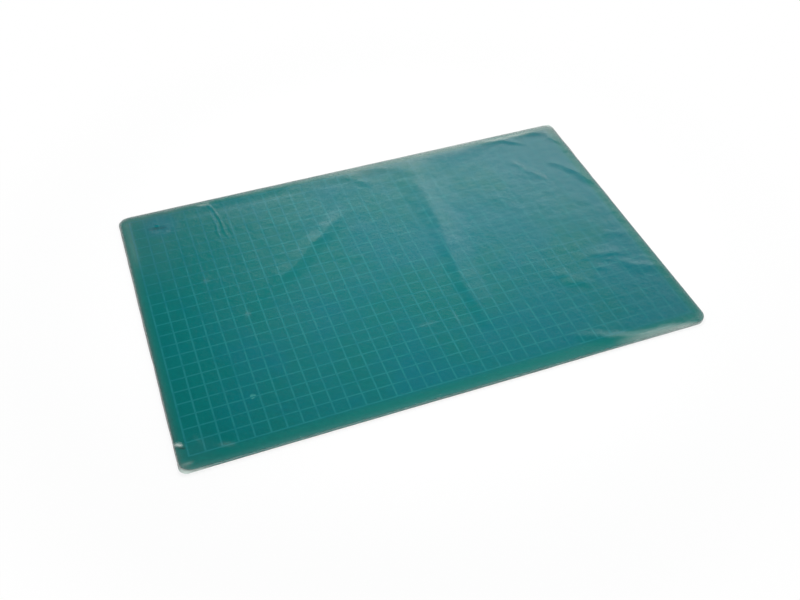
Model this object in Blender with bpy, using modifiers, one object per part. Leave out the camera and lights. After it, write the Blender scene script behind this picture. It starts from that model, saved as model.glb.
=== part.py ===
# Self-healing cutting mat in its clear shrink film.
# The mat lies flat: its long side runs along X, its front edge faces -Y, and Z is up.
# The origin is under the middle of the mat, on the surface that it lies on. Sizes are in metres.

import math

import bmesh
import bpy
from mathutils import Matrix, Vector

# The mat's outline.
mat_length = 0.450
mat_width = 0.300
corner_radius = 0.010
corner_steps = 12

# The fused plies. A bond line is the joint between two of them.
face_ply_thickness = 0.0008
interlayer_thickness = 0.0003
core_thickness = 0.0006
bond_line = 0.00005

# The shrink film. The real film is about 0.02 mm thick, and is drawn thicker to make a sound solid.
film_wall = 0.0002
film_clearance = 0.0003
film_panel = 0.025
rim_fade = 0.006

# The film's edge: welded on the left, back and right, folded at the front, with an ear at each corner.
weld_reach = 0.0014
fold_reach = 0.0005
ear_reach = 0.0015
weld_height = 0.0005

# The vent that lets air out of the film as it shrinks.
vent_diameter = 0.004
vent_from_left = 0.032
vent_from_back = 0.0215
vent_sides = 24

# How finely a crease is cut into the film, and the width under which a sliver is closed up.
crease_step = 0.008
sliver = 0.0001
crease_cuts = (-1.0, -0.5, 0.0, 0.5, 1.0)

# Each crease of the film: where it starts and ends, from the mat's left and back edges,
# the half width of its foot and its height.
creases = (
    {"start": (0.086, 0.016), "end": (0.095, 0.060), "half_width": 0.0030, "height": 0.0008},
    {"start": (0.094, 0.018), "end": (0.104, 0.058), "half_width": 0.0030, "height": 0.0009},
    {"start": (0.072, 0.008), "end": (0.088, 0.016), "half_width": 0.0030, "height": 0.0007},
    {"start": (0.122, 0.126), "end": (0.190, 0.073), "half_width": 0.0070, "height": 0.0009},
    {"start": (0.220, 0.012), "end": (0.250, 0.040), "half_width": 0.0060, "height": 0.0007},
    {"start": (0.288, 0.012), "end": (0.290, 0.176), "half_width": 0.0080, "height": 0.0012},
    {"start": (0.275, 0.150), "end": (0.276, 0.228), "half_width": 0.0050, "height": 0.0006},
    {"start": (0.385, 0.046), "end": (0.412, 0.088), "half_width": 0.0060, "height": 0.0009},
    {"start": (0.376, 0.197), "end": (0.440, 0.196), "half_width": 0.0060, "height": 0.0009},
    {"start": (0.418, 0.220), "end": (0.442, 0.233), "half_width": 0.0060, "height": 0.0008},
    {"start": (0.334, 0.279), "end": (0.400, 0.290), "half_width": 0.0050, "height": 0.0009},
    {"start": (0.026, 0.0245), "end": (0.042, 0.0285), "half_width": 0.0060, "height": 0.0006},
)

ply_stack = (
    ("base_ply", face_ply_thickness),
    ("lower_interlayer", interlayer_thickness),
    ("core_ply", core_thickness),
    ("upper_interlayer", interlayer_thickness),
    ("cutting_ply", face_ply_thickness),
)

mat_thickness = sum(thickness for _, thickness in ply_stack) + bond_line * (len(ply_stack) - 1)
mat_underside = film_wall + film_clearance
film_inner_height = mat_thickness + 2 * film_clearance
film_crown = film_wall + film_inner_height


def clear_scene():
    for item in list(bpy.data.objects):
        bpy.data.objects.remove(item, do_unlink=True)


def collection_named(name):
    group = bpy.data.collections.new(name)
    bpy.context.scene.collection.children.link(group)
    return group


def material_named(name, colour, roughness, alpha=1.0):
    material = bpy.data.materials.new(name)
    material.use_nodes = True
    shader = material.node_tree.nodes["Principled BSDF"]
    shader.inputs["Base Color"].default_value = (*colour, 1.0)
    shader.inputs["Roughness"].default_value = roughness
    shader.inputs["Metallic"].default_value = 0.0
    shader.inputs["Alpha"].default_value = alpha
    material.diffuse_color = (*colour, alpha)
    return material


def rounded_outline(length, width, radius):
    # Four arcs, counter-clockwise from the right end of the back edge.
    across, along = length / 2 - radius, width / 2 - radius
    points = []
    for corner, (side_x, side_y) in enumerate(((1, 1), (-1, 1), (-1, -1), (1, -1))):
        for step in range(corner_steps + 1):
            angle = math.pi / 2 * (corner + step / corner_steps)
            points.append(
                (
                    side_x * across + radius * math.cos(angle),
                    side_y * along + radius * math.sin(angle),
                )
            )
    return points


def plate(name, group, length, width, radius, underside, thickness):
    # A flat plate with rounded corners: a filled 2D curve, extruded half its thickness each way.
    curve = bpy.data.curves.new(name, "CURVE")
    curve.dimensions = "2D"
    curve.fill_mode = "BOTH"
    curve.extrude = thickness / 2
    outline = rounded_outline(length, width, radius)
    spline = curve.splines.new("POLY")
    spline.points.add(len(outline) - 1)
    for point, (x, y) in zip(spline.points, outline):
        point.co = (x, y, 0.0, 1.0)
    spline.use_cyclic_u = True
    item = bpy.data.objects.new(name, curve)
    item.location.z = underside + thickness / 2
    group.objects.link(item)
    return item


def make_plies(group):
    # The laminate, from the underside up, one ply on the next.
    finishes = {
        "base_ply": material_named("green_vinyl_underside", (0.010, 0.135, 0.120), 0.55),
        "lower_interlayer": material_named("lower_soft_vinyl", (0.012, 0.085, 0.072), 0.70),
        "core_ply": material_named("stiff_core", (0.060, 0.055, 0.050), 0.65),
        "upper_interlayer": material_named("upper_soft_vinyl", (0.012, 0.085, 0.072), 0.70),
        "cutting_ply": material_named("green_vinyl_top", (0.008, 0.140, 0.145), 0.50),
    }
    underside = mat_underside
    for name, thickness in ply_stack:
        ply = plate(name, group, mat_length, mat_width, corner_radius, underside, thickness)
        ply.data.materials.append(finishes[name])
        underside += thickness + bond_line


def meshed(item, group):
    # The curve as a welded mesh, in place of the curve object.
    bpy.context.view_layer.update()
    evaluated = item.evaluated_get(bpy.context.evaluated_depsgraph_get())
    name = item.name
    mesh = bpy.data.meshes.new_from_object(evaluated)
    mesh.transform(item.matrix_world)
    bpy.data.objects.remove(item, do_unlink=True)
    solid = bpy.data.objects.new(name, mesh)
    group.objects.link(solid)
    return solid


def top_faces(bm):
    return [face for face in bm.faces if face.normal.z > 0.99]


def cut(bm, faces, point, normal):
    edges = {edge for face in faces for edge in face.edges}
    corners = {vertex for face in faces for vertex in face.verts}
    bmesh.ops.bisect_plane(
        bm,
        geom=[*corners, *edges, *faces],
        dist=1e-6,
        plane_co=point,
        plane_no=normal,
    )


def place(from_left, from_back):
    # A point on the mat, given from its left and back edges.
    return Vector((from_left - mat_length / 2, mat_width / 2 - from_back, 0.0))


def crease_frame(crease):
    start, end = place(*crease["start"]), place(*crease["end"])
    along = (end - start).normalized()
    return start, end, along, Vector((-along.y, along.x, 0.0))


def distance_to(crease, point):
    # How far a point lies from the crease's crest, and its share of the way along it.
    start, end, along, _ = crease_frame(crease)
    length = (end - start).length
    reached = (Vector((point.x, point.y, 0.0)) - start).dot(along)
    nearest = start + along * min(max(reached, 0.0), length)
    return (Vector((point.x, point.y, 0.0)) - nearest).length, reached / length


def panel_the_film(bm):
    # Even cuts both ways, so that a crease is cut only into the panels that it crosses.
    for axis, span in ((Vector((1, 0, 0)), mat_length), (Vector((0, 1, 0)), mat_width)):
        panels = max(1, round(span / film_panel))
        for line in range(1, panels):
            cut(bm, list(bm.faces), axis * (span * (line / panels - 0.5)), axis)


def cut_crease(bm, crease):
    start, end, along, across = crease_frame(crease)
    reach = crease["half_width"] + film_panel

    def near():
        return [
            face
            for face in top_faces(bm)
            if distance_to(crease, face.calc_center_median())[0] < reach
        ]

    for share in crease_cuts:
        cut(bm, near(), start + across * crease["half_width"] * share, across)
    steps = max(2, round((end - start).length / crease_step))
    for step in range(steps + 1):
        cut(bm, near(), start.lerp(end, step / steps), along)


def crease_height(point):
    # The tallest crease at this point, rounded across, tapered to both ends and gone at the rim.
    tallest = 0.0
    for crease in creases:
        away, share = distance_to(crease, point)
        if away < crease["half_width"] and 0.0 < share < 1.0:
            crown = math.cos(math.pi / 2 * away / crease["half_width"]) ** 2
            taper = math.sin(math.pi * share) ** 0.5
            tallest = max(tallest, crease["height"] * crown * taper)
    to_rim = min(mat_length / 2 - abs(point.x), mat_width / 2 - abs(point.y))
    return tallest * min(max(to_rim / rim_fade, 0.0), 1.0)


def outward(point):
    # The direction straight out of the outline at a point on the film's edge.
    across, along = mat_length / 2 - corner_radius, mat_width / 2 - corner_radius
    inner_x = min(max(point.x, -across), across)
    inner_y = min(max(point.y, -along), along)
    return Vector((point.x - inner_x, point.y - inner_y, 0.0)).normalized()


def edge_reach(direction):
    # How far the film stands out: a fold at the front, a weld elsewhere and an ear on each corner.
    front = max(0.0, -direction.y) ** 2
    ear = (2 * abs(direction.x * direction.y)) ** 2
    return weld_reach + (fold_reach - weld_reach) * front + ear_reach * ear


def draw_out_the_edge(bm):
    # Two cuts round the sides give the welded edge, which is then drawn outward.
    middle = film_wall + film_inner_height / 2
    levels = (middle - weld_height / 2, middle + weld_height / 2)
    for level in levels:
        cut(bm, list(bm.faces), Vector((0, 0, level)), Vector((0, 0, 1)))
    for vertex in bm.verts:
        if levels[0] - film_wall / 2 < vertex.co.z < levels[1] + film_wall / 2:
            direction = outward(vertex.co)
            vertex.co += direction * edge_reach(direction)


def make_vent_cutter(group):
    height = 2 * film_crown
    bm = bmesh.new()
    bmesh.ops.create_cone(
        bm,
        cap_ends=True,
        segments=vent_sides,
        radius1=vent_diameter / 2,
        radius2=vent_diameter / 2,
        depth=height,
        matrix=Matrix.Translation(
            place(vent_from_left, vent_from_back)
            + Vector((0, 0, film_wall + film_inner_height / 2 + height / 2))
        ),
    )
    mesh = bpy.data.meshes.new("vent_cutter")
    bm.to_mesh(mesh)
    bm.free()
    cutter = bpy.data.objects.new("vent_cutter", mesh)
    cutter.hide_render = True
    cutter.display_type = "WIRE"
    group.objects.link(cutter)
    return cutter


def make_film(group, cutters):
    # The film starts as a plate round the whole mat. Its skin is creased, drawn out at the edge,
    # given its wall outward and opened by the vent.
    blank = plate(
        "shrink_film",
        group,
        mat_length + 2 * film_clearance,
        mat_width + 2 * film_clearance,
        corner_radius + film_clearance,
        film_wall,
        film_inner_height,
    )
    film = meshed(blank, group)
    bm = bmesh.new()
    bm.from_mesh(film.data)
    bmesh.ops.remove_doubles(bm, verts=bm.verts, dist=1e-6)
    bmesh.ops.dissolve_limit(bm, angle_limit=0.01, verts=bm.verts, edges=bm.edges)
    bm.normal_update()
    panel_the_film(bm)
    for crease in creases:
        cut_crease(bm, crease)
    for vertex in {vertex for face in top_faces(bm) for vertex in face.verts}:
        vertex.co.z += crease_height(vertex.co)
    draw_out_the_edge(bm)
    bmesh.ops.triangulate(bm, faces=bm.faces, ngon_method="BEAUTY")
    bmesh.ops.dissolve_degenerate(bm, dist=sliver, edges=bm.edges)
    bmesh.ops.recalc_face_normals(bm, faces=bm.faces)
    bm.to_mesh(film.data)
    bm.free()
    film.data.materials.clear()
    film.data.materials.append(material_named("clear_film", (0.90, 0.94, 0.93), 0.10, 0.30))
    wall = film.modifiers.new("wall", "SOLIDIFY")
    wall.thickness = film_wall
    wall.offset = 1.0
    wall.use_even_offset = True
    vent = film.modifiers.new("vent", "BOOLEAN")
    vent.operation = "DIFFERENCE"
    vent.solver = "EXACT"
    vent.object = make_vent_cutter(cutters)


clear_scene()
parts = collection_named("cutting_mat")
cutters = collection_named("cutters")
make_plies(parts)
make_film(parts, cutters)
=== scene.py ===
# Cutting mat in its shrink film: vinyl finishes, the printed grid and the creased film
import math

import bpy
import numpy as np
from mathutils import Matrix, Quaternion, Vector, noise


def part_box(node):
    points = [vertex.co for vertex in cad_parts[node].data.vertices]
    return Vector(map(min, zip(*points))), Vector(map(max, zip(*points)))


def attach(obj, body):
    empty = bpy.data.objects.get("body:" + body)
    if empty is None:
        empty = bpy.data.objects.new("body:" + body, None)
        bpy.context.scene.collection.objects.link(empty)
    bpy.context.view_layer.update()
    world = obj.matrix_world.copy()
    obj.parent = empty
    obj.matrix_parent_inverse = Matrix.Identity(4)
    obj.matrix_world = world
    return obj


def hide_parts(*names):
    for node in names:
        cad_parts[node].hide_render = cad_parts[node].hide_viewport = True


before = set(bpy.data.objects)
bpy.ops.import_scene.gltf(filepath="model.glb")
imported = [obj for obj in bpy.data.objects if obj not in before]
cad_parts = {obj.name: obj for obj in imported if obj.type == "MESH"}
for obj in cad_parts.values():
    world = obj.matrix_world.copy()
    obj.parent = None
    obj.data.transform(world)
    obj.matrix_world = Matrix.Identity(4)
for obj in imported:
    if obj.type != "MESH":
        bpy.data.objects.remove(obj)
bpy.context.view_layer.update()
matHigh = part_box("cutting_ply")[1]  # the printed ply, the uppermost
halfLong, halfShort, matTop = matHigh
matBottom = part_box("base_ply")[0].z
print("frame loaded, mat top at", round(matTop * 1000, 2), "mm")


# The camera, at the photograph's angle
cameraSettings = {
    "azimuth": -20.57,
    "elevation": 45.70,
    "roll": 0.40,
    "distance": 0.8142,
    "target": (-0.0130, -0.0391, 0.0035),
    "focalInImageWidths": 942.7 / 800,
}


def addCamera(settings):
    azimuth = math.radians(settings["azimuth"])
    elevation = math.radians(settings["elevation"])
    back = Vector((
        math.sin(azimuth) * math.cos(elevation),
        -math.cos(azimuth) * math.cos(elevation),
        math.sin(elevation),
    ))
    camera = bpy.data.objects.new("viewCamera", bpy.data.cameras.new("viewCamera"))
    bpy.context.scene.collection.objects.link(camera)
    camera.data.sensor_fit = "HORIZONTAL"
    camera.data.sensor_width = 36
    camera.data.lens = settings["focalInImageWidths"] * 36
    camera.location = Vector(settings["target"]) + back * settings["distance"]
    roll = Quaternion((0, 0, 1), math.radians(settings["roll"]))
    camera.rotation_mode = "QUATERNION"
    camera.rotation_quaternion = (-back).to_track_quat("-Z", "Y") @ roll
    bpy.context.scene.camera = camera


addCamera(cameraSettings)
bpy.context.scene.view_settings.view_transform = "Standard"
print("camera placed")


# Helpers for node trees
def startMaterial(name):
    material = bpy.data.materials.new(name)
    material.use_nodes = True
    nodes = material.node_tree.nodes
    nodes.clear()
    return material, nodes, material.node_tree.links


def addNode(nodes, kind, **values):
    node = nodes.new(kind)
    for key, value in values.items():
        if key in node.inputs:
            node.inputs[key].default_value = value
        else:
            setattr(node, key, value)
    return node


def plug(links, socket, value):
    if isinstance(value, (int, float, tuple)):
        socket.default_value = value
    else:
        links.new(value, socket)


def mathNode(nodes, links, operation, first, second=0.0):
    node = addNode(nodes, "ShaderNodeMath", operation=operation)
    plug(links, node.inputs[0], first)
    plug(links, node.inputs[1], second)
    return node.outputs[0]


def rangeNode(nodes, links, value, low, high, toLow, toHigh):
    node = addNode(nodes, "ShaderNodeMapRange", interpolation_type="SMOOTHSTEP")
    for name, number in (("From Min", low), ("From Max", high), ("To Min", toLow), ("To Max", toHigh)):
        node.inputs[name].default_value = number
    links.new(value, node.inputs["Value"])
    return node.outputs["Result"]


def noiseNode(nodes, links, place, values):
    node = addNode(nodes, "ShaderNodeTexNoise", **values)
    links.new(place.outputs["Object"], node.inputs["Vector"])
    return node.outputs["Fac"]


def vectorNode(nodes, links, place, operation, other):
    # One number from a point: its distance from another, or its dot product with a direction
    node = addNode(nodes, "ShaderNodeVectorMath", operation=operation)
    links.new(place.outputs["Object"], node.inputs[0])
    node.inputs[1].default_value = other
    return node.outputs["Value"]


def bumpNode(nodes, links, height, shader, values):
    node = addNode(nodes, "ShaderNodeBump", **values)
    links.new(height, node.inputs["Height"])
    links.new(node.outputs["Normal"], shader.inputs["Normal"])


def blendColours(nodes, links, share, first, second):
    node = addNode(nodes, "ShaderNodeMix", data_type="RGBA")
    links.new(share, node.inputs["Factor"])
    plug(links, node.inputs["A"], first)
    plug(links, node.inputs["B"], second)
    return node.outputs["Result"]


def blendShaders(nodes, links, share, first, second):
    node = nodes.new("ShaderNodeMixShader")
    plug(links, node.inputs["Fac"], share)
    links.new(first, node.inputs[1])
    links.new(second, node.inputs[2])
    return node.outputs[0]


# Floor, sky and lamps of a plain studio
stageSettings = {
    "floorSide": 12.0,
    "floorDrop": 0.0002,
    "floorColour": (0.90, 0.91, 0.91, 1),
    "floorGlow": 0.86,  # share of plain white seen in the floor near the mat, where its shadow falls
    "floorFade": (0.24, 0.44),  # metres over which that rises to all white
    "skyColour": (1.0, 1.0, 1.0, 1),
    "backdropTop": 37.0,  # degrees up to which the backdrop is white
    "backdropFade": 6.0,  # degrees in which it falls to a third above that
    "backdropRim": 6.0,  # degrees just under that top in which its unlit side starts to fall
    "litFrom": (0.0, 12.0),  # from +Y towards +X, the side where that fade is lit
    "litTo": (75.0, 120.0),
    "unlitShare": 0.03,
    "ceiling": 0.008,
    "lamps": [
        {"name": "overheadSoftbox", "place": (0.03, 0.06, 0.51), "size": 0.30, "power": 3.05},
        {"name": "rightSoftbox", "place": (0.50, 0.12, 0.62), "size": 0.34, "power": 0.6},
    ],
}


def addFloor(settings):
    bpy.ops.object.select_all(action="DESELECT")
    bpy.ops.mesh.primitive_plane_add(size=settings["floorSide"], location=(0, 0, -settings["floorDrop"]))
    floor = bpy.context.object
    floor.name = "paleFloor"
    material, nodes, links = startMaterial("paleFloorPaint")
    output = nodes.new("ShaderNodeOutputMaterial")
    paint = addNode(nodes, "ShaderNodeBsdfDiffuse", Color=settings["floorColour"])
    glow = addNode(nodes, "ShaderNodeEmission", Color=(1, 1, 1, 1), Strength=1.0)
    rays = nodes.new("ShaderNodeLightPath").outputs
    seen = mathNode(nodes, links, "MAXIMUM", rays["Is Camera Ray"], rays["Is Glossy Ray"])
    seen = mathNode(nodes, links, "MAXIMUM", seen, rays["Is Transmission Ray"])
    place = nodes.new("ShaderNodeTexCoord")
    away = addNode(nodes, "ShaderNodeVectorMath", operation="LENGTH")
    links.new(place.outputs["Object"], away.inputs[0])
    white = rangeNode(
        nodes, links, away.outputs["Value"], *settings["floorFade"], settings["floorGlow"], 1.0
    )
    share = mathNode(nodes, links, "MULTIPLY", seen, white)
    surface = blendShaders(nodes, links, share, paint.outputs[0], glow.outputs[0])
    links.new(surface, output.inputs["Surface"])
    floor.data.materials.append(material)


def paintSky(settings):
    world = bpy.data.worlds.new("softStudio")
    bpy.context.scene.world = world
    world.use_nodes = True
    nodes, links = world.node_tree.nodes, world.node_tree.links
    nodes.clear()
    place = nodes.new("ShaderNodeTexCoord")
    split = nodes.new("ShaderNodeSeparateXYZ")
    links.new(place.outputs["Generated"], split.inputs[0])
    across, along, up = split.outputs
    degrees = 180 / math.pi
    height = mathNode(nodes, links, "MULTIPLY", mathNode(nodes, links, "ARCSINE", up), degrees)
    turn = mathNode(nodes, links, "MULTIPLY", mathNode(nodes, links, "ARCTAN2", across, along), degrees)
    top = settings["backdropTop"]
    above = mathNode(nodes, links, "MAXIMUM", mathNode(nodes, links, "SUBTRACT", height, top), 0.0)
    fall = mathNode(nodes, links, "DIVIDE", above, -settings["backdropFade"])
    fade = mathNode(nodes, links, "EXPONENT", fall)
    near = rangeNode(nodes, links, turn, *settings["litFrom"], settings["unlitShare"], 1.0)
    far = rangeNode(nodes, links, turn, *settings["litTo"], 1.0, settings["unlitShare"])
    low = rangeNode(nodes, links, height, top - settings["backdropRim"], top, 1.0, 0.0)
    lit = mathNode(nodes, links, "MAXIMUM", mathNode(nodes, links, "MINIMUM", near, far), low)
    level = mathNode(nodes, links, "MULTIPLY", fade, lit)
    level = mathNode(nodes, links, "MAXIMUM", level, settings["ceiling"])
    back = addNode(nodes, "ShaderNodeBackground", Color=settings["skyColour"])
    links.new(level, back.inputs["Strength"])
    output = nodes.new("ShaderNodeOutputWorld")
    links.new(back.outputs[0], output.inputs["Surface"])


def addLamp(settings):
    lamp = bpy.data.objects.new(settings["name"], bpy.data.lights.new(settings["name"], "AREA"))
    bpy.context.scene.collection.objects.link(lamp)
    lamp.data.shape = "SQUARE"
    lamp.data.size = settings["size"]
    lamp.data.energy = settings["power"]
    lamp.location = settings["place"]
    lamp.rotation_mode = "QUATERNION"
    lamp.rotation_quaternion = (-Vector(settings["place"])).to_track_quat("-Z", "Y")
    lamp.visible_camera = False
    lamp.visible_glossy = False  # so that the film mirrors only the backdrop


addFloor(stageSettings)
paintSky(stageSettings)
for lampSettings in stageSettings["lamps"]:
    addLamp(lampSettings)
print("studio lit")


# The plies: fine matt vinyl outside, darker layers inside
vinylFinish = {
    "topGreen": (0.0022, 0.163, 0.161, 1),
    "topBlue": (0.0020, 0.159, 0.194, 1),
    "paintedSheenSlope": (-0.6, 0.15, 0.0),  # how the green share falls off across the mat: a painted bluish sheen, more blue towards the right
    "marginGreen": (0.0050, 0.175, 0.160, 1),
    "undersideGreen": (0.010, 0.150, 0.130, 1),
    "undersideDark": (0.008, 0.128, 0.112, 1),
    "softLayer": (0.012, 0.330, 0.320, 1),
    "softLayerDark": (0.010, 0.270, 0.262, 1),
    "coreLayer": (0.022, 0.235, 0.228, 1),
    "coreLayerDark": (0.018, 0.185, 0.180, 1),
    "clouding": {"Scale": 9.0, "Detail": 6.0, "Roughness": 0.62},
    "mottle": (0.36, 0.62),  # the clouding's values between which green takes over from blue
    "marginFade": (-0.004, 0.006),  # metres past the grid between which the margin's greener colour starts
    "flecks": {"Scale": 420.0, "Detail": 3.0, "Roughness": 0.7},
    "fleckShade": (0.25, 0.75, 0.93, 1.06),  # noise values of the darkest and the lightest, their shades
    "fleckGloss": (0.3, 0.7),  # the flecks' values between which the roughness spreads
    "roughness": 0.52,
    "roughnessSpread": 0.06,
    "shine": {"top": 0.02, "inside": 0.2, "underside": 0.3},
    "pebbles": {"Scale": 1300.0, "Randomness": 1.0},
    "pebbleBump": {"Strength": 0.4, "Distance": 0.00003},
    "spots": [  # place, from where to where it fades, and colour
        ((-0.158, -0.0987, 0.0037), (0.0014, 0.0030), (0.045, 0.285, 0.272, 1)),  # a pale nick
        ((-0.190, 0.1285, 0.0037), (0.0080, 0.0220), (0.002, 0.160, 0.198, 1)),  # a painted bluish sheen, below the vent
        ((-0.193, 0.1285, 0.0037), (0.0018, 0.0034), (0.003, 0.112, 0.122, 1)),  # painted shade in its middle, darkening the vinyl the vent leaves bare
    ],
    "spotFray": 0.004,  # metres by which the flecks fray the spots' edges
}

# The printed grid of half-inch squares, with bare margins
gridPrint = {
    "columns": 34,
    "rows": 22,
    "pitch": 0.0127,
    "line": 0.0015,  # the lines from front to back
    "crossLine": 0.00125,  # and the fainter ones from left to right
    "ink": 0.00003,
    "middle": (-0.0005, 0.0023),  # from the mat's middle: the front margin is the wider one
    "inkPale": (0.0113, 0.212, 0.227, 1),
    "inkWornAndSheenFaded": (0.0043, 0.175, 0.204, 1),
    "roughness": 0.5,
    "shine": 0.05,
    "wear": {"Scale": 70.0, "Detail": 6.0, "Roughness": 0.75},
    "fadeRange": (0.40, 0.62),  # the values, wear with the painted sheen fade, between which the ink goes from faint to pale
    "sheenFadeSlope": (-0.34, -0.34, 0.0),  # painted sheen: the print is made fainter towards the back right, where the sheen washes the lines out
    "rubbedCorner": (-0.20, 0.125, 0.0035),  # and on this corner
    "rubbedReach": (0.03, 0.14),
    "rubbedLoss": 0.15,
}
gridHalf = [gridPrint[count] * gridPrint["pitch"] / 2 for count in ("columns", "rows")]


def pastGrid(nodes, links, place):
    # How far a point lies outside the printed grid
    split = nodes.new("ShaderNodeSeparateXYZ")
    links.new(place.outputs["Object"], split.inputs[0])
    reaches = []
    for axis in (0, 1):
        centred = mathNode(nodes, links, "SUBTRACT", split.outputs[axis], gridPrint["middle"][axis])
        centred = mathNode(nodes, links, "ABSOLUTE", centred)
        reaches.append(mathNode(nodes, links, "SUBTRACT", centred, gridHalf[axis]))
    return mathNode(nodes, links, "MAXIMUM", *reaches)


def vinylMaterial(name, pale, dark, finish, shine, margin=None):
    material, nodes, links = startMaterial(name)
    output = nodes.new("ShaderNodeOutputMaterial")
    shader = nodes.new("ShaderNodeBsdfPrincipled")
    shader.inputs["Specular IOR Level"].default_value = shine
    links.new(shader.outputs[0], output.inputs["Surface"])
    place = nodes.new("ShaderNodeTexCoord")
    cloud = noiseNode(nodes, links, place, finish["clouding"])
    # painted sheen: the slope makes the vinyl more blue towards the right
    slope = vectorNode(nodes, links, place, "DOT_PRODUCT", finish["paintedSheenSlope"])
    cover = mathNode(nodes, links, "ADD", cloud, slope)
    cover = rangeNode(nodes, links, cover, *finish["mottle"], 0.0, 1.0)
    surface = blendColours(nodes, links, cover, dark, pale)
    if margin:
        outside = rangeNode(nodes, links, pastGrid(nodes, links, place), *finish["marginFade"], 0.0, 1.0)
        surface = blendColours(nodes, links, outside, surface, margin)
    fleck = noiseNode(nodes, links, place, finish["flecks"])
    shade = rangeNode(nodes, links, fleck, *finish["fleckShade"])
    tint = addNode(nodes, "ShaderNodeVectorMath", operation="SCALE")
    links.new(surface, tint.inputs[0])
    links.new(shade, tint.inputs["Scale"])
    surface = tint.outputs[0]
    frayed = mathNode(nodes, links, "SUBTRACT", fleck, 0.5)
    frayed = mathNode(nodes, links, "MULTIPLY", frayed, finish["spotFray"])
    for spot, reach, colour in finish["spots"]:
        away = vectorNode(nodes, links, place, "DISTANCE", spot)
        away = mathNode(nodes, links, "ADD", away, frayed)
        spotted = rangeNode(nodes, links, away, *reach, 1.0, 0.0)
        surface = blendColours(nodes, links, spotted, surface, colour)
    links.new(surface, shader.inputs["Base Color"])
    pebble = addNode(nodes, "ShaderNodeTexVoronoi", **finish["pebbles"])
    links.new(place.outputs["Object"], pebble.inputs["Vector"])
    bumpNode(nodes, links, pebble.outputs["Distance"], shader, finish["pebbleBump"])
    rough, spread = finish["roughness"], finish["roughnessSpread"]
    gloss = rangeNode(nodes, links, fleck, *finish["fleckGloss"], rough - spread, rough + spread)
    links.new(gloss, shader.inputs["Roughness"])
    return material


def dressPlies(finish):
    shine = finish["shine"]
    top = (finish["topGreen"], finish["topBlue"], finish, shine["top"], finish["marginGreen"])
    soft = (finish["softLayer"], finish["softLayerDark"], finish, shine["inside"])
    core = (finish["coreLayer"], finish["coreLayerDark"], finish, shine["inside"])
    under = (finish["undersideGreen"], finish["undersideDark"], finish, shine["underside"])
    looks = {
        "cutting_ply": vinylMaterial("tealVinylTop", *top),
        "upper_interlayer": vinylMaterial("softVinylUpper", *soft),
        "core_ply": vinylMaterial("stiffVinylCore", *core),
        "lower_interlayer": vinylMaterial("softVinylLower", *soft),
        "base_ply": vinylMaterial("greenVinylUnderside", *under),
    }
    for node, material in looks.items():
        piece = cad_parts[node]
        piece.data.materials.clear()
        piece.data.materials.append(material)


def inkMaterial(settings):
    material, nodes, links = startMaterial("paleGridInk")
    output = nodes.new("ShaderNodeOutputMaterial")
    shader = addNode(nodes, "ShaderNodeBsdfPrincipled", Roughness=settings["roughness"])
    shader.inputs["Specular IOR Level"].default_value = settings["shine"]
    links.new(shader.outputs[0], output.inputs["Surface"])
    place = nodes.new("ShaderNodeTexCoord")
    wear = noiseNode(nodes, links, place, settings["wear"])
    # painted sheen: the ink is made fainter towards the back right
    slope = vectorNode(nodes, links, place, "DOT_PRODUCT", settings["sheenFadeSlope"])
    kept = mathNode(nodes, links, "ADD", wear, slope)
    corner = vectorNode(nodes, links, place, "DISTANCE", settings["rubbedCorner"])
    rubbed = rangeNode(nodes, links, corner, *settings["rubbedReach"], -settings["rubbedLoss"], 0.0)
    kept = mathNode(nodes, links, "ADD", kept, rubbed)
    left = rangeNode(nodes, links, kept, *settings["fadeRange"], 0.0, 1.0)
    ink = blendColours(nodes, links, left, settings["inkWornAndSheenFaded"], settings["inkPale"])
    links.new(ink, shader.inputs["Base Color"])
    return material


def onlySelect(piece):
    bpy.ops.object.select_all(action="DESELECT")
    piece.select_set(True)
    bpy.context.view_layer.objects.active = piece


def addGrid(settings):
    bpy.ops.object.select_all(action="DESELECT")
    bpy.ops.mesh.primitive_grid_add(
        x_subdivisions=settings["columns"], y_subdivisions=settings["rows"], size=1.0
    )
    lattice = bpy.context.object
    lattice.name = "printedGrid"
    # The lattice is inset while longer and then squeezed, which makes the cross lines thinner
    squeeze = settings["crossLine"] / settings["line"]
    reach = (gridHalf[0], gridHalf[1] / squeeze)
    lattice.scale = (2 * reach[0], 2 * reach[1], 1.0)
    bpy.ops.object.transform_apply(location=False, rotation=False, scale=True)
    half = settings["line"] / 2
    bpy.ops.object.mode_set(mode="EDIT")
    bpy.ops.mesh.select_mode(type="FACE")
    bpy.ops.mesh.select_all(action="SELECT")
    bpy.ops.mesh.inset(thickness=half, use_individual=True)
    bpy.ops.mesh.delete(type="FACE")  # the insides of the squares, which inset leaves selected
    bpy.ops.object.mode_set(mode="OBJECT")
    for corner in lattice.data.vertices:  # the outer lines are as wide as the rest
        for axis in (0, 1):
            if abs(corner.co[axis]) > reach[axis] - half / 2:
                corner.co[axis] += math.copysign(half, corner.co[axis])
    lattice.scale = (1.0, squeeze, 1.0)
    bpy.ops.object.transform_apply(location=False, rotation=False, scale=True)
    bpy.ops.object.mode_set(mode="EDIT")
    bpy.ops.mesh.select_all(action="SELECT")
    bpy.ops.mesh.extrude_region_move(TRANSFORM_OT_translate={"value": (0, 0, settings["ink"] * 2)})
    bpy.ops.mesh.select_all(action="SELECT")
    bpy.ops.mesh.normals_make_consistent(inside=False)
    bpy.ops.object.mode_set(mode="OBJECT")
    lattice.location = (*settings["middle"], matTop - settings["ink"])
    bpy.ops.object.transform_apply(location=True, rotation=False, scale=False)
    lattice.data.materials.append(inkMaterial(settings))
    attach(lattice, "root")


dressPlies(vinylFinish)
addGrid(gridPrint)
print("plies dressed and grid printed")


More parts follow.
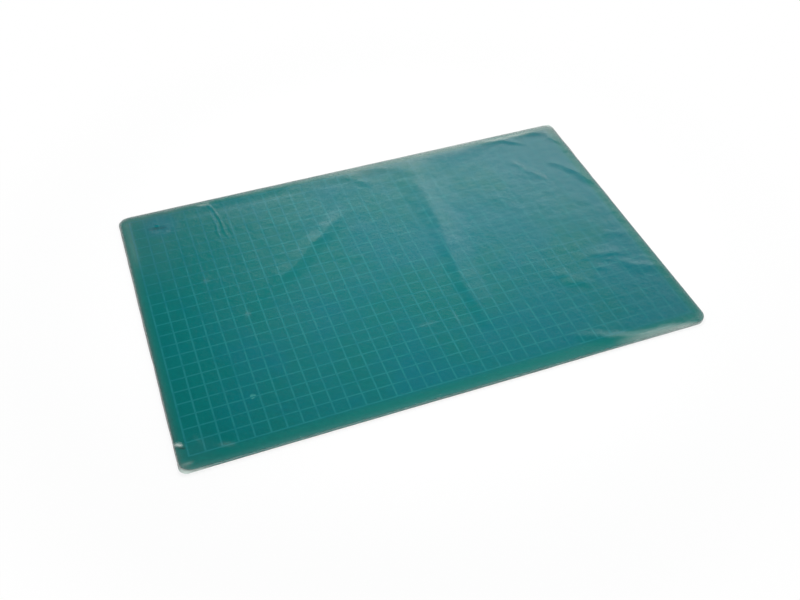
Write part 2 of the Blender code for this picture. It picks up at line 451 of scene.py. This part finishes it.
# The shrink film: one skin drawn over the mat, welded round it and closed below.
# Places and lengths are in millimetres, from the mat's left and back edges. A crease's route holds places
# and heights, its sides how far it slopes away to the left and to the right of that route, and its round
# how blunt its ridge is. A noise is given by its waves in a metre, its seed, and its height or share.
filmSettings = {
    "cell": 2.0,  # side of the squares of its mesh
    "fineReach": (6.0, 4.0),  # how far the squares round a fine detail are halved once, and once more
    "wall": 0.04,
    "smoothUnder": 50,  # degrees
    "rest": 0.10,  # gap above the mat
    "slack": 0.22,  # what is added to that where the film is loosest, at the back right
    "ripples": [(22.0, 1.3, 0.18), (60.0, 4.7, 0.11), (150.0, 14.1, 0.055)],
    "pucker": (120.0, 9.1, 0.5),  # and this one along the edge
    "puckerReach": 7,
    "valley": {  # start and end with the length of the fade there
        "fromBack": 16.5, "width": 5, "start": (50, 20), "end": (180, 30), "depth": 0.8,
    },
    "rimFall": (2.5, 0.7),  # how far in from the edge the film comes down, and how roundly
    "creases": [
        {"route": [(84, 169, 0), (104, 150, 0.35), (118, 131, 0.6), (134, 120, 0.75), (147, 108, 0.8),
                   (158, 98, 0.75), (171, 87, 0.7), (183, 77, 0.6), (192, 69, 0.42), (199, 60, 0.2),
                   (206, 48, 0)],
         "sides": (11, 13)},
        {"route": [(283, 4, 0.1), (284.5, 27, 0.95), (283.5, 57, 1.2), (281.5, 84, 1.25),
                   (280.5, 112, 1.25), (276.5, 140, 1.3), (274, 157, 1.3), (271.5, 179, 1.2),
                   (271, 199, 1.0), (271, 222, 0.65), (271, 248, 0)],
         "sides": ([24, 27, 28, 28, 27, 24, 22, 21, 20, 18, 16],
                   [20, 19, 18, 15, 13, 12, 12, 10, 8.5, 7, 6]),
         "round": [7, 7, 4, 1.2, 0.8, 0.8, 0.8, 0.8, 0.8, 0.8, 0.8]},
        {"route": [(218, 8, 0.1), (224, 16, 0.2), (230, 23, 0.28), (236, 29.5, 0.2), (241, 35, 0)],
         "sides": (12, 5)},
        {"route": [(230, 4, 0.15), (246, 7, 0.38), (258, 11, 0.34), (267, 16, 0)], "sides": (5, 5)},
        {"route": [(290, 7, 0), (302, 9, 0.35), (316, 13, 0)], "sides": (5, 6)},
        {"route": [(362, 6, 0), (376, 6.5, 0.45), (393, 11, 0.5), (402, 16, 0.4), (411, 24, 0)],
         "sides": (6, 4)},
        {"route": [(416, 6, 0.1), (428, 8.5, 0.35), (437, 14, 0.35), (441, 22, 0.3), (445, 32, 0.2),
                   (446, 43, 0)],
         "sides": (6, 4)},
        {"route": [(386, 41, 0), (388, 45, 0.2), (390, 53, 0.3), (392, 59, 0.1), (398, 67, 0.3),
                   (404, 76, 0.25), (411, 87, 0)],
         "sides": (4, 7)},
        {"route": [(414, 56, 0), (423, 60, 0.22), (428, 65, 0.3), (433, 72, 0.48), (438, 80, 0.56),
                   (442, 90, 0.5), (445, 98, 0.35), (448, 109, 0)],
         "sides": (7, 6)},
        {"route": [(408, 171, 0), (419, 173, 0.12), (428, 175, 0.15), (437, 178, 0.12), (445, 184, 0)],
         "sides": (7, 6)},
        {"route": [(372, 197, 0), (391, 197, 0.2), (404, 198, 0.3), (416, 199, 0.3), (427, 205, 0)],
         "sides": (12, 3)},
        {"route": [(396, 202, 0), (405, 203.5, 0.2), (414, 206, 0)], "sides": (3, 3)},
        {"route": [(386, 211, 0), (396, 213, 0.25), (405, 216, 0)], "sides": (6, 4)},
        {"route": [(412, 210, 0), (421, 216, 0.3), (427, 222, 0.35), (437, 224, 0.3), (447, 229, 0.1)],
         "sides": (5, 10)},
        {"route": [(350, 219, 0), (361, 220.5, 0.35), (370, 222.5, 0.45), (380, 230, 0)], "sides": (14, 5)},
        {"route": [(344, 208, 0), (352, 208.5, 0.3), (359, 209.5, 0.35), (367, 217, 0)], "sides": (7, 4)},
        {"route": [(87.5, 18, 0.07), (89, 25, 0.12), (89.6, 35, 0.13), (90.4, 45, 0.11), (91.5, 56, 0.08),
                   (92.5, 64, 0)],
         "sides": (1.7, 1.5), "fine": True},
        {"route": [(83.4, 24, 0), (83.8, 31, 0.06), (84.2, 42, 0.065), (84.8, 53, 0.05), (85.6, 62, 0)],
         "sides": (1.6, 1.4), "fine": True},
        {"route": [(95.2, 38, 0), (95.7, 45, 0.045), (96.2, 55, 0.045), (97, 63, 0)],
         "sides": (1.6, 1.4), "fine": True},
        {"route": [(76, 2, 0.2), (82, 6, 0.24), (85.5, 12, 0.18), (87.5, 19, 0.08)],
         "sides": (2.4, 2.2), "fine": True},
        {"route": [(328, 276, 0), (338, 280, 0.22), (347, 284, 0.4), (356, 288, 0.52), (366, 292.5, 0.66),
                   (377, 297, 0.9), (390, 299, 1.0), (405, 299.3, 1.0), (422, 299.6, 0.85),
                   (434, 299.8, 0.6), (442, 299.5, 0.15)],
         "sides": ([6, 8, 9, 9, 8, 7, 6, 5, 4, 3, 2], 8)},
        {"route": [(13, 268, 0), (15, 274, 0.35), (18, 281, 0.35), (21, 287, 0)], "sides": (5, 6)},
        {"route": [(22, 285, 0), (29, 288, 0.35), (40, 291, 0.3), (50, 294, 0)], "sides": (5, 5)},
        {"route": [(-2, 273.5, 0.7), (3, 275.5, 0.6), (8, 279, 0)], "sides": (3, 3), "fine": True},
    ],
    "wander": 2.2,  # how far a crease strays from its route
    "wanderWaves": (85.0, 6.2, 8.8),  # waves in a metre, and the seeds of the two ways
    "backRoll": [  # from the left, the crest's distance from the back edge, and its height
        (0, 3, 0.15), (55, 4, 0.3), (110, 4, 0.4), (150, 4.5, 0.4), (170, 5, 0.25), (190, 6.5, 0.22),
        (230, 9, 0.45), (262, 9, 0.5), (285, 14, 0.6), (310, 11, 0.5), (345, 10, 0.5), (370, 6, 0.6),
        (400, 5, 0.7), (425, 5, 0.7), (450, 4, 0.5),
    ],
    "rollNoise": (40.0, 2.2, 0.4),
    "rollTail": 1.6,  # how steeply the roll falls off past its crest
    "vent": {"place": (32, 21.5), "radius": 2.0, "lip": 0.03},  # the lip is raised
    "dents": [  # place, half length, half width, depth, the rises first
        (32, 27, 17, 15, -0.22),
        (32, 26.5, 9.5, 8, 0.26),
    ],
    "weldReach": 1.6,  # how far out the weld lies, and the fold at the front
    "foldReach": 0.7,
    "weldWobble": (70.0, 5.5, 0.35),
    "weldLeast": 0.25,
    "weldHeight": (1.9, 3.0),  # at the front and the left, at the back
    "weldRise": 0.6,  # how much of that rise the right side has
    "weldFlange": (0.45, 0.5, 0.1),  # where along its reach it bends, half its height there and at its end
    "hug": (0.3, 0.15, 0.1),  # gap at the mat's edge, and how far below its top and above its base
    "closing": (2.0, 0.03),  # how far in under the mat the last ring lies, and how high
    "frontBow": (0.9, 275, 75),  # how far the front edge bows out, its middle and its half length
    "draws": {  # how much closer the weld is along a side, at its back or left end and at its other end
        "back": (1.2, 0.8),
        "front": (-0.75, 0.5),
        "left": (0.4, 0.6),
        "right": (0.0, 1.35),
    },
    "ears": {"frontLeft": 1.9, "frontRight": 0.1, "backRight": 2.2, "backLeft": 1.0},
    "earPleats": (0.35, 26),  # height, and waves in a full turn
    "cornerRadius": 10.0,
    "hazeAndPaintedLight": 0.0005,  # plain clouding of the film, everywhere
    "hazeAndPaintedLightMost": 0.9,
    "sideReach": 6,  # how far in from a corner one side's clouding and painted shade give way to the other's
    "sideHazeAndShade": {  # painted shade along each edge, partly clouding, and a painted shadow fringe on the rim: share at the edge, reach, whiteness, then share and whiteness of the rim beyond it
        "left": (0.24, 1.6, 0.18, 0.22, 0.36),
        "front": (0.04, 2.0, 0.90, 0.02, 0.50),
        "right": (0.16, 2.2, 0.20, 0.42, 0.10),
        "back": (0.15, 2.2, 0.22, 0.13, 0.4),
        "backRight": (0.15, 2.2, 0.22, 0.42, 0.15),
    },
    "farRight": (280, 50),  # from where, and over what length, the back becomes the back right
    "backHazeAndSheen": [  # painted sheen along the back edge, partly clouding: from the left, share at the back edge, reach, whiteness
        (0, 0.10, 6, 0.5), (60, 0.24, 3.5, 0.35), (80, 0.22, 3, 0.4), (90, 0.10, 2, 0.3),
        (102, 0.10, 2, 0.3), (114, 0.22, 3, 0.4), (140, 0.22, 3.2, 0.4), (200, 0.22, 4.8, 0.5),
        (250, 0.25, 9, 0.55), (290, 0.25, 9, 0.6), (315, 0.29, 5, 0.6), (360, 0.34, 5.5, 0.65),
        (385, 0.24, 5, 0.7), (425, 0.24, 5, 0.7), (450, 0.34, 12, 0.65),
    ],
    "backNoise": (60.0, 12.4, 0.5),
    "gatherStart": [(350, 292), (365, 293), (400, 294), (425, 296), (440, 298)],  # from left, from back
    "gatherHazeAndReflection": [(360, 0), (385, 0.13), (410, 0.23), (430, 0.34), (443, 0.10)],  # painted reflection on the gathered film, partly clouding: from left, share
    "gatherFade": (4, 0.5, 0.85),  # the length of its start, the loss on the rim, and the whiteness
    "cornerHighlights": [  # painted highlights on the film past three corners: place and reach from the left, the same from the back, share, whiteness
        (4, 14, 301, 7, 0.75, 1.0),
        (442, 9, 301, 5, 0.5, 0.8),
        (443, 10, 0, 6, 0.6, 0.95),
    ],
    "strongMark": 0.1,  # the share from which a mark gets finer squares
    "paintedLightMarks": [  # spots of painted highlight, sheen and shade: place, half length, half width, turn in degrees, share, whiteness
        (2.9, 275.3, 3.0, 1.1, -26, 0.38, 1.0),
        (5.0, 278.6, 2.4, 0.8, -20, 0.30, 0.0),
        (79, 5.8, 6.0, 1.5, -10, 0.11, 1.0),
        (60, 108.5, 2.6, 2.6, 0, 0.02, 1.0),
        (224, 223.5, 8.0, 1.6, 0, 0.018, 1.0),
        (38, 286.5, 5.5, 1.5, -22, 0.03, 1.0),
        (250, 224, 1.3, 6.0, 8, 0.02, 1.0),
        (84.5, 160.5, 2.2, 3.0, 0, 0.025, 1.0),
        (184, 71, 6.0, 1.6, 4, 0.02, 1.0),
        (7, 11, 4.0, 3.0, 0, 0.02, 0.8),
        (15, 285, 14, 12, 0, 0.005, 0.95),
        (48, 24, 58, 30, 0, 0.008, 0.95),
        (400, 6.2, 27, 1.9, 0, 0.15, 1.0),
        (18, 62, 28, 42, 0, 0.008, 0.95),
        (24, 16, 28, 9.0, -6, 0.004, 0.95),
        (31.5, 30.2, 7.5, 2.2, -8, 0.006, 0.95),
        (32, 24.6, 8.0, 2.0, -8, 0.11, 0.0),
        (288.5, 75, 60.0, 6.0, 91, 0.010, 0.95),
        (40.5, 32.2, 1.8, 1.5, 0, 0.03, 0.95),
        (447, 295.5, 4.0, 4.0, 0, 0.05, 0.7),
        (390.5, 53, 9.0, 1.6, -66, 0.035, 1.0),
        (402.5, 74, 9.0, 1.6, -57, 0.035, 1.0),
        (345, 80, 120, 100, 0, 0.007, 0.95),
        (6.5, 38, 30.0, 3.2, 90, 0.03, 0.9),
        (6, 294, 4.0, 1.5, 0, 0.08, 1.0),
    ],
    "tint": (0.985, 0.985, 0.98, 1),
    "gloss": 0.07,
    "mirrored": (0.955, 0.98, 1.0, 1),
    "mirrorShare": (0.96, 0.041),  # what is added seen edge on, and what is there head on
    "mirrorPower": 5.0,
    "fineWaves": {"Scale": 150.0, "Detail": 4.0, "Roughness": 0.6},
    "fineBump": {"Strength": 0.5, "Distance": 0.00032},
    # colours of the film's cloud: white for its clouding and painted highlights and sheen, dark for painted
    # shade and shadow
    "hazeAndHighlightWhite": (0.74, 0.86, 0.81, 1),
    "paintedShadeDark": (0.030, 0.080, 0.077, 1),
}
mm = 0.001
plainRound = 0.8  # the round of a crease that gives none
sideCurve = 1.35  # 1 would make a crease's sides straight


def framePlace(fromLeft, fromBack):
    return fromLeft * mm - halfLong, halfShort - fromBack * mm


def alongRoute(x, y, crease):
    # The crease's height where its route is nearest, less what it falls off across, and how far off that is
    points = np.array([framePlace(left, back) for left, back, height in crease["route"]])
    heights = np.array([height * mm for left, back, height in crease["route"]])
    profile = (*crease["sides"], crease.get("round", plainRound))
    leftSides, rightSides, rounds = (np.broadcast_to(values, len(points)) * mm for values in profile)
    nearest = np.full(x.shape, 1e9)
    lift = np.zeros(x.shape)
    for number, (start, end) in enumerate(zip(points[:-1], points[1:])):
        length = np.hypot(*(end - start))
        run = (end - start) / length
        reach = np.clip((x - start[0]) * run[0] + (y - start[1]) * run[1], 0, length)
        offX, offY = x - start[0] - run[0] * reach, y - start[1] - run[1] * reach
        away = np.hypot(offX, offY)
        height, left, right, rounded = (
            values[number] + (values[number + 1] - values[number]) * reach / length
            for values in (heights, leftSides, rightSides, rounds)
        )
        side = np.where(run[0] * offY - run[1] * offX > 0, left, right)
        crown = np.clip(1 - (np.hypot(away, rounded) - rounded) / side, 0, 1) ** sideCurve
        lift = np.where(away < nearest, crown * height, lift)
        nearest = np.minimum(nearest, away)
    return lift, nearest


def noiseField(x, y, waves, seed):
    return np.array([noise.noise(Vector((a * waves, b * waves, seed))) for a, b in zip(x, y)])


def toEdge(x, y, radius):
    # Distance in from the mat's rounded outline
    overX = np.abs(x) - (halfLong - radius)
    overY = np.abs(y) - (halfShort - radius)
    corner = radius - np.hypot(np.maximum(overX, 0), np.maximum(overY, 0))
    side = np.minimum(halfLong - np.abs(x), halfShort - np.abs(y))
    return np.where((overX > 0) & (overY > 0), corner, side)


def bell(values, middle, width):
    return np.exp(-(((values - middle) / width) ** 2))


def filmLift(x, y, settings):
    lift = np.zeros(x.shape)
    waves, acrossSeed, alongSeed = settings["wanderWaves"]
    strayX = x + settings["wander"] * mm * noiseField(x, y, waves, acrossSeed)
    strayY = y + settings["wander"] * mm * noiseField(x, y, waves, alongSeed)
    for crease in settings["creases"]:
        lift = np.maximum(lift, alongRoute(strayX, strayY, crease)[0])
    edge = toEdge(x, y, settings["cornerRadius"] * mm)
    fromBack, fromLeft = halfShort - y, x + halfLong
    # It is looser towards the back right, where it stands off more and ripples more
    loose = 0.5 + 0.5 * np.clip(x / halfLong + y / halfShort, -1, 1)
    ripple = sum(height * mm * noiseField(x, y, waves, seed) for waves, seed, height in settings["ripples"])
    general = settings["slack"] * mm * (0.5 + 0.5 * loose) + (0.3 + 0.7 * loose) * ripple
    # It lies closer in a valley before the roll on the left of the back edge
    valley = settings["valley"]
    (start, startFade), (end, endFade) = valley["start"], valley["end"]
    sunk = bell(fromBack, valley["fromBack"] * mm, valley["width"] * mm)
    sunk = sunk * np.clip((fromLeft - start * mm) / (startFade * mm), 0, 1)
    general *= 1 - valley["depth"] * sunk * np.clip((end * mm - fromLeft) / (endFade * mm), 0, 1)
    for left, back, halfLength, halfWidth, depth in settings["dents"]:
        placeX, placeY = framePlace(left, back)
        away = ((x - placeX) / (halfLength * mm)) ** 2 + ((y - placeY) / (halfWidth * mm)) ** 2
        general -= depth * mm * (1 - np.clip(away, 0, 1)) ** 2
    # The film stands in a roll along the back edge
    places, crests, heights = np.array(settings["backRoll"]).T * mm
    crest = np.interp(fromLeft, places, crests)
    waves, seed, amount = settings["rollNoise"]
    uneven = 1 + amount * noiseField(x, np.zeros(x.shape), waves, seed)
    share = np.clip(fromBack / crest, 0, None)
    rising = np.sin(np.pi / 2 * np.minimum(share, 1))
    falling = (share * np.exp(1 - share)) ** settings["rollTail"]
    roll = np.interp(fromLeft, places, heights) * uneven * np.where(share < 1, rising, falling)
    # It puckers along every edge, and comes down to the mat there
    waves, seed, height = settings["pucker"]
    fade = np.exp(-np.clip(edge, 0, 1) / (settings["puckerReach"] * mm))
    pucker = np.abs(noiseField(x, y, waves, seed)) * fade
    lift = lift + np.maximum(general, roll) + height * mm * loose * pucker
    rimFall, roundness = settings["rimFall"]
    return np.maximum(lift, 0) * np.clip(edge / (rimFall * mm), 0, 1) ** roundness


def fromMark(x, y, left, back, turn):
    # Distances from a mark's middle, along it and across it
    placeX, placeY = framePlace(left, back)
    angle = math.radians(turn)
    along = (x - placeX) * math.cos(angle) + (y - placeY) * math.sin(angle)
    return along, (y - placeY) * math.cos(angle) - (x - placeX) * math.sin(angle)


def hazeAndPaintedLightShares(x, y, settings):
    # How clouded the film is, with its painted highlights, sheen, reflections and shade, and how white that
    # cloud looks
    edge = toEdge(x, y, settings["cornerRadius"] * mm)
    beyond = np.clip(-edge / mm, 0, 1)
    edge = np.maximum(edge, 0) / mm
    fromLeft, fromBack = (x + halfLong) / mm, (halfShort - y) / mm
    distances = {
        "left": fromLeft,
        "front": 2 * halfShort / mm - fromBack,
        "right": 2 * halfLong / mm - fromLeft,
        "back": fromBack,
    }
    nearness = {
        name: np.exp(-np.maximum(distance, 0) / settings["sideReach"])
        for name, distance in distances.items()
    }
    start, length = settings["farRight"]
    farRight = np.clip((fromLeft - start) / length, 0, 1)
    nearness["backRight"] = nearness["back"] * farRight
    nearness["back"] = nearness["back"] * (1 - farRight)
    total = sum(nearness.values()) + 1e-9
    share, reach, white, rimShare, rimWhite = (
        sum(near * settings["sideHazeAndShade"][name][number] for name, near in nearness.items()) / total
        for number in range(5)
    )
    hazeAndLightLayers = [(np.full(x.shape, settings["hazeAndPaintedLight"]), 1.0)]
    # painted shade along the edges, whiter at the front
    hazeAndLightLayers.append((share * np.exp(-edge / (reach + 0.01)), white))
    # painted sheen in a strip along the back edge
    places, shares, reaches, whites = np.array(settings["backHazeAndSheen"]).T
    reach = np.interp(fromLeft, places, reaches)
    waves, seed, amount = settings["backNoise"]
    uneven = 1 + amount * noiseField(x, y, waves, seed)
    strip = np.interp(fromLeft, places, shares) * np.exp(-np.clip(fromBack, 0, None) / reach) * uneven
    hazeAndLightLayers.append((strip, np.interp(fromLeft, places, whites)))
    # spots of painted highlight, sheen and shade
    for left, back, halfLength, halfWidth, turn, amount, white in settings["paintedLightMarks"]:
        along, across = fromMark(x, y, left, back, turn)
        fall = -((along / (halfLength * mm)) ** 4) - (across / (halfWidth * mm)) ** 2
        hazeAndLightLayers.append((amount * np.exp(fall), white))
    # Along the front right the gathered film gets a painted reflection, and the film past three corners
    # painted highlights
    start = np.interp(fromLeft, *zip(*settings["gatherStart"]))
    strength = np.interp(fromLeft, *zip(*settings["gatherHazeAndReflection"]))
    length, rimLoss, white = settings["gatherFade"]
    band = strength * np.clip((fromBack - start) / length, 0, 1)
    hazeAndLightLayers.append((band * (1 - rimLoss * beyond), white))
    elsewhere = np.ones(x.shape)
    # painted highlights on the film past three corners
    for left, leftReach, back, backReach, amount, white in settings["cornerHighlights"]:
        corner = bell(fromLeft, left, leftReach) * bell(fromBack, back, backReach)
        hazeAndLightLayers.append((amount * corner * beyond, white))
        elsewhere = elsewhere - corner
    # painted shadow: a dark fringe on the rim past the mat's edge
    hazeAndLightLayers.append((rimShare * np.clip(elsewhere, 0, 1) * beyond, rimWhite))
    share = sum(amount for amount, white in hazeAndLightLayers)
    whiteness = sum(amount * white for amount, white in hazeAndLightLayers) / share
    return np.clip(share, 0, settings["hazeAndPaintedLightMost"]), np.clip(whiteness, 0, 1)


def vertexPlaces(piece):
    places = np.zeros(len(piece.data.vertices) * 3)
    piece.data.vertices.foreach_get("co", places)
    return places.reshape(-1, 3)


def setPlaces(piece, places):
    piece.data.vertices.foreach_set("co", places.ravel())
    piece.data.update()


def selectFaces(piece, chosen):
    bpy.ops.object.mode_set(mode="EDIT")
    bpy.ops.mesh.select_mode(type="FACE")
    bpy.ops.mesh.select_all(action="DESELECT")
    bpy.ops.object.mode_set(mode="OBJECT")
    piece.data.polygons.foreach_set("select", chosen)
    bpy.ops.object.mode_set(mode="EDIT")


def faceMiddles(piece):
    middles = np.zeros(len(piece.data.polygons) * 3)
    piece.data.polygons.foreach_get("center", middles)
    return middles.reshape(-1, 3)


def refineFilm(film, settings):
    # Finer squares where the pleats, the marks and the vent need them
    for reach in settings["fineReach"]:
        middles = faceMiddles(film)
        x, y = middles[:, 0], middles[:, 1]
        near = np.zeros(len(x), bool)
        for crease in settings["creases"]:
            if crease.get("fine"):
                near |= alongRoute(x, y, crease)[1] < reach * mm
        for left, back, halfLength, halfWidth, turn, amount, white in settings["paintedLightMarks"]:
            if amount > settings["strongMark"]:
                along, across = fromMark(x, y, left, back, turn)
                beside = np.abs(across) < (halfWidth * 1.6 + reach / 2) * mm
                near |= beside & (np.abs(along) < (halfLength + reach / 2) * mm)
        placeX, placeY = framePlace(*settings["vent"]["place"])
        near |= np.hypot(x - placeX, y - placeY) < (settings["vent"]["radius"] + reach / 2) * mm
        selectFaces(film, near)
        bpy.ops.mesh.subdivide(number_cuts=1)
        bpy.ops.object.mode_set(mode="OBJECT")


def roundCorners(film, settings):
    # Each square corner of the grid is drawn in until it is a quarter circle
    places = vertexPlaces(film)
    radius = settings["cornerRadius"] * mm
    shares = [
        np.clip((np.abs(places[:, axis]) - (half - radius)) / radius, 0, 1)
        for axis, half in enumerate((halfLong, halfShort))
    ]
    for axis, (own, other) in enumerate((shares, shares[::-1])):
        drawnIn = radius * (own * np.sqrt(1 - other * other / 2) - own)
        places[:, axis] = np.sign(places[:, axis]) * (np.abs(places[:, axis]) + drawnIn)
    setPlaces(film, places)


def placeKeys(places):
    return [tuple(row) for row in places.astype(np.float32).tolist()]


def drawRimDown(film, settings):
    # The rim goes down in rings to the weld line, back in under it, and is closed below the mat
    bpy.ops.object.mode_set(mode="EDIT")
    bpy.ops.mesh.select_mode(type="EDGE")
    bpy.ops.mesh.select_all(action="DESELECT")
    bpy.ops.mesh.select_non_manifold()
    bpy.ops.object.mode_set(mode="OBJECT")
    places = vertexPlaces(film)
    rim = np.array([vertex.index for vertex in film.data.vertices if vertex.select])
    start = places[rim]
    radius = settings["cornerRadius"] * mm
    inner = np.stack([
        np.clip(start[:, 0], -(halfLong - radius), halfLong - radius),
        np.clip(start[:, 1], -(halfShort - radius), halfShort - radius),
    ], 1)
    outward = start[:, :2] - inner
    outward /= np.linalg.norm(outward, axis=1)[:, None]
    front = np.clip(-outward[:, 1], 0, 1) ** 2
    waves, seed, amount = settings["weldWobble"]
    wobble = amount * noiseField(start[:, 0], start[:, 1], waves, seed)
    # The fold at the front reaches out less than the weld, and wobbles less
    folded = settings["foldReach"] - settings["weldReach"] - wobble * 0.6
    weld = settings["weldReach"] + wobble + folded * front
    diagonal = (2 * outward[:, 0] * outward[:, 1]) ** 2  # 1 in the middle of a corner, 0 on the sides
    corners = {"frontLeft": (-1, -1), "frontRight": (1, -1), "backRight": (1, 1), "backLeft": (-1, 1)}
    for name, signs in corners.items():
        mine = (np.sign(outward[:, 0]) == signs[0]) & (np.sign(outward[:, 1]) == signs[1])
        weld = weld + mine * diagonal * settings["ears"][name]
    fromLeft = (start[:, 0] + halfLong) / mm
    bow, middle, halfLength = settings["frontBow"]
    weld = weld + bow * bell(fromLeft, middle, halfLength) * (outward[:, 1] < -0.9)
    acrossShare, downShare = fromLeft * mm / (2 * halfLong), 0.5 - start[:, 1] / (2 * halfShort)
    ways = {"back": (0, 1), "front": (0, -1), "left": (-1, 0), "right": (1, 0)}
    for name, (near, far) in settings["draws"].items():
        share = acrossShare if ways[name][0] == 0 else downShare
        facing = np.clip(outward @ np.array(ways[name]), 0, 1) ** 2
        weld = weld - facing * (near + (far - near) * share)
    weld = np.maximum(weld, settings["weldLeast"])
    turn = np.arctan2(outward[:, 1], outward[:, 0])
    height, pleats = settings["earPleats"]
    pleat = diagonal * height * np.sin(turn * pleats) * mm
    low, high = settings["weldHeight"]
    rise = np.clip(outward[:, 1], 0, 1) ** 2 + settings["weldRise"] * np.clip(outward[:, 0], 0, 1) ** 2
    weldMiddle = (low + (high - low) * np.clip(rise, 0, 1)) * mm
    bend, bendHeight, halfHeight = settings["weldFlange"]
    gap, underTop, overBase = settings["hug"]
    inward, ground = settings["closing"]
    every = np.ones(weld.shape)
    rings = [  # how far out, and how high
        (every * gap * mm, every * (matTop - underTop * mm)),
        (weld * bend * mm, weldMiddle + bendHeight * mm + pleat),
        (weld * mm, weldMiddle + halfHeight * mm + pleat),
        (weld * mm, weldMiddle - halfHeight * mm + pleat),
        (weld * bend * mm, weldMiddle - bendHeight * mm + pleat * 0.5),
        (every * gap * mm, every * (matBottom + overBase * mm)),
        (every * -inward * mm, every * ground * mm),
    ]
    last = dict(zip(placeKeys(start), range(len(rim))))
    for reach, height in rings:
        bpy.ops.object.mode_set(mode="EDIT")
        bpy.ops.mesh.extrude_region_move()
        bpy.ops.object.mode_set(mode="OBJECT")
        places = vertexPlaces(film)
        ring = np.array([vertex.index for vertex in film.data.vertices if vertex.select])
        order = [last[key] for key in placeKeys(places[ring])]
        spots = start[:, :2] + outward * reach[:, None]
        places[ring] = np.column_stack([spots, height])[order]
        setPlaces(film, places)
        last = dict(zip(placeKeys(places[ring]), order))
    bpy.ops.object.mode_set(mode="EDIT")
    bpy.ops.mesh.edge_face_add()
    bpy.ops.mesh.select_all(action="SELECT")
    bpy.ops.mesh.normals_make_consistent(inside=False)
    bpy.ops.object.mode_set(mode="OBJECT")


def punchVent(film, settings):
    middles = faceMiddles(film)
    placeX, placeY = framePlace(*settings["place"])
    inside = np.hypot(middles[:, 0] - placeX, middles[:, 1] - placeY) < settings["radius"] * mm
    selectFaces(film, inside & (middles[:, 2] > matTop))
    bpy.ops.mesh.delete(type="FACE")
    bpy.ops.mesh.select_mode(type="EDGE")
    bpy.ops.mesh.select_non_manifold()
    bpy.ops.object.mode_set(mode="OBJECT")
    places = vertexPlaces(film)
    rim = np.array([vertex.index for vertex in film.data.vertices if vertex.select])
    away = places[rim, :2] - (placeX, placeY)
    away /= np.linalg.norm(away, axis=1)[:, None]
    places[rim, :2] = (placeX, placeY) + away * settings["radius"] * mm
    places[rim, 2] += settings["lip"] * mm
    setPlaces(film, places)


def filmMaterial(settings):
    material, nodes, links = startMaterial("clearShrinkFilm")
    output = nodes.new("ShaderNodeOutputMaterial")
    place = nodes.new("ShaderNodeTexCoord")
    clear = addNode(nodes, "ShaderNodeBsdfTransparent", Color=settings["tint"])
    gloss = addNode(nodes, "ShaderNodeBsdfGlossy", Color=settings["mirrored"], Roughness=settings["gloss"])
    waves = noiseNode(nodes, links, place, settings["fineWaves"])
    bumpNode(nodes, links, waves, gloss, settings["fineBump"])
    facing = addNode(nodes, "ShaderNodeLayerWeight", Blend=0.5)
    edgeOn = mathNode(nodes, links, "POWER", facing.outputs["Facing"], settings["mirrorPower"])
    more, least = settings["mirrorShare"]
    mirror = mathNode(nodes, links, "ADD", mathNode(nodes, links, "MULTIPLY", edgeOn, more), least)
    skin = blendShaders(nodes, links, mirror, clear.outputs[0], gloss.outputs[0])
    # the film's clouding with painted highlights, sheen, reflections and shade, read from two attributes
    hazeAndPaintedLight = addNode(nodes, "ShaderNodeAttribute", attribute_name="hazeAndPaintedLight")
    whiteness = addNode(nodes, "ShaderNodeAttribute", attribute_name="whiteness")
    dull, white = settings["paintedShadeDark"], settings["hazeAndHighlightWhite"]
    hazeAndLightDiffuse = nodes.new("ShaderNodeBsdfDiffuse")
    links.new(blendColours(nodes, links, whiteness.outputs["Fac"], dull, white), hazeAndLightDiffuse.inputs["Color"])
    surface = blendShaders(nodes, links, hazeAndPaintedLight.outputs["Fac"], skin, hazeAndLightDiffuse.outputs[0])
    links.new(surface, output.inputs["Surface"])
    return material


def addFilm(settings):
    bpy.ops.object.select_all(action="DESELECT")
    cell = settings["cell"] * mm
    bpy.ops.mesh.primitive_grid_add(
        x_subdivisions=round(2 * halfLong / cell),
        y_subdivisions=round(2 * halfShort / cell),
        size=1.0,
    )
    film = bpy.context.object
    film.name = "shrinkFilm"
    film.scale = (2 * halfLong, 2 * halfShort, 1)
    bpy.ops.object.transform_apply(location=False, rotation=False, scale=True)
    refineFilm(film, settings)
    roundCorners(film, settings)
    places = vertexPlaces(film)
    places[:, 2] = matTop + settings["rest"] * mm + filmLift(places[:, 0], places[:, 1], settings)
    setPlaces(film, places)
    drawRimDown(film, settings)
    punchVent(film, settings["vent"])
    x, y = vertexPlaces(film)[:, :2].T
    for name, values in zip(("hazeAndPaintedLight", "whiteness"), hazeAndPaintedLightShares(x, y, settings)):
        film.data.attributes.new(name, "FLOAT", "POINT").data.foreach_set("value", values)
    film.data.materials.append(filmMaterial(settings))
    onlySelect(film)
    wall = film.modifiers.new("filmWall", "SOLIDIFY")
    wall.thickness = settings["wall"] * mm
    wall.offset = -1
    bpy.ops.object.modifier_apply(modifier="filmWall")
    bpy.ops.object.shade_smooth_by_angle(angle=math.radians(settings["smoothUnder"]))
    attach(film, "root")
    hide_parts("shrink_film")
    return film


filmPiece = addFilm(filmSettings)
print("film shrunk on,", len(filmPiece.data.polygons), "faces")
